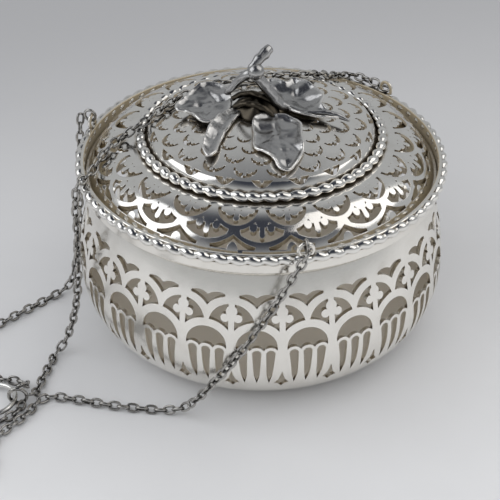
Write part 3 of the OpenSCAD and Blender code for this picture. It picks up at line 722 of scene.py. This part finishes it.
bud_mesh = bmesh.new()
bmesh.ops.create_icosphere(bud_mesh, subdivisions=4, radius=BUD_RADIUS * MM)
for v in bud_mesh.verts:
    p = v.co / MM
    pit = 0.05 * math.exp(-(p - BUD_PIT).length_squared / 0.3)
    swell = 1 + 0.02 * noise.noise(p * 0.5) - pit
    v.co = (Vector((p.x, p.y, p.z * BUD_FLAT)) * swell + BUD_PLACE) * MM
bud_data = bpy.data.meshes.new("bud_cast")
bud_mesh.to_mesh(bud_data)
bud_mesh.free()
bud_data.polygons.foreach_set("use_smooth", [True] * len(bud_data.polygons))
bud = bpy.data.objects.new("bud_cast", bud_data)
scene.collection.objects.link(bud)
paint(bud, leaf_mat)
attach(bud, "lid")
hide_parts("finial_bud")


# Floor, lights and surroundings
FLOOR_SIZE = 3.0
FLOOR_LOW = -0.00005
PALE_A, PALE_B, FAR_PAINTED_SHADE = (0.66, 0.66, 0.67), (0.70, 0.70, 0.71), (0.36, 0.36, 0.37)


def floor_material():
    """Pale paper with faint clouds, darker towards the back left, as in the photo."""
    mat = bpy.data.materials.new("paper_floor")
    mat.use_nodes = True
    tree = mat.node_tree
    bsdf = tree.nodes["Principled BSDF"]
    bsdf.inputs["Roughness"].default_value = 0.9
    cloud = node(tree, "ShaderNodeTexNoise", Scale=9.0, Detail=5.0, Roughness=0.55)
    place = tree.nodes.new("ShaderNodeTexCoord").outputs["Object"]
    tree.links.new(place, cloud.inputs["Vector"])
    pale = mix_color(tree, ramp(tree, cloud.outputs["Fac"], 0.35, 0.65), PALE_A, PALE_B)
    split = node(tree, "ShaderNodeSeparateXYZ")
    tree.links.new(place, split.inputs[0])
    aside = math_node(tree, "MULTIPLY", split.outputs["X"], 0.25)
    # Painted shade: the paper darkens towards the back left, where the light falls off.
    far = ramp(tree, math_node(tree, "SUBTRACT", split.outputs["Y"], aside), -0.10, 0.24)
    tree.links.new(mix_color(tree, far, pale, FAR_PAINTED_SHADE), bsdf.inputs["Base Color"])
    return mat


floor_mesh = bmesh.new()
bmesh.ops.create_grid(floor_mesh, x_segments=8, y_segments=8, size=FLOOR_SIZE)
floor_data = bpy.data.meshes.new("floor")
floor_mesh.to_mesh(floor_data)
floor_mesh.free()
floor = bpy.data.objects.new("floor", floor_data)
floor.location.z = FLOOR_LOW
scene.collection.objects.link(floor)
floor_data.materials.append(floor_material())


def area_light(name, place, target, size, power, color=(1, 1, 1)):
    """A soft rectangular light that looks at the target."""
    data = bpy.data.lights.new(name, "AREA")
    data.shape = "RECTANGLE"
    data.size, data.size_y = size
    data.energy = power
    data.color = color
    obj = bpy.data.objects.new(name, data)
    scene.collection.objects.link(obj)
    obj.location = place
    aim = Vector(target) - Vector(place)
    obj.rotation_euler = aim.to_track_quat("-Z", "Y").to_euler()
    return obj


CENTRE = (0, 0, 0.03)
area_light("key_right", (0.55, 0.05, 0.75), CENTRE, (0.75, 0.85), 2.1, (1.0, 0.98, 0.95))
area_light("fill_left", (-0.6, -0.1, 0.55), CENTRE, (0.7, 0.7), 1.9, (0.95, 0.97, 1.0))
# These two light the floor and the dull inside, and the silver doesn't mirror them
back = area_light("back_soft", (0.05, 0.75, 0.6), CENTRE, (0.7, 0.3), 1.4)
front = area_light("front_soft", (-0.15, -0.7, 0.7), (0, -0.05, 0.0), (0.9, 0.5), 2.0)
back.visible_glossy = front.visible_glossy = False

# The room that the silver mirrors is grey, with a dark ceiling above and in front
ROOM_GREY, ROOM_DARK = (0.40, 0.41, 0.42), (0.03, 0.035, 0.05)
SKY_LIGHT, SKY_SEEN = (0.56, 0.57, 0.58), (0.62, 0.62, 0.63)
world = bpy.data.worlds.new("studio")
scene.world = world
world.use_nodes = True
tree = world.node_tree
background = tree.nodes["Background"]
direction = tree.nodes.new("ShaderNodeTexCoord").outputs["Generated"]
dark = node(tree, "ShaderNodeVectorMath", operation="DOT_PRODUCT")
tree.links.new(direction, dark.inputs[0])
dark.inputs[1].default_value = Vector((0.0, -0.30, 0.95)).normalized()
overhead = ramp(tree, dark.outputs["Value"], 0.45, 0.92)
room = mix_color(tree, overhead, ROOM_GREY, ROOM_DARK)
paths = tree.nodes.new("ShaderNodeLightPath")
seen = mix_color(tree, paths.outputs["Is Camera Ray"], SKY_LIGHT, SKY_SEEN)
final = mix_color(tree, paths.outputs["Is Glossy Ray"], seen, room)
tree.links.new(final, background.inputs["Color"])
background.inputs["Strength"].default_value = 1.0

scene.view_settings.view_transform = "Standard"
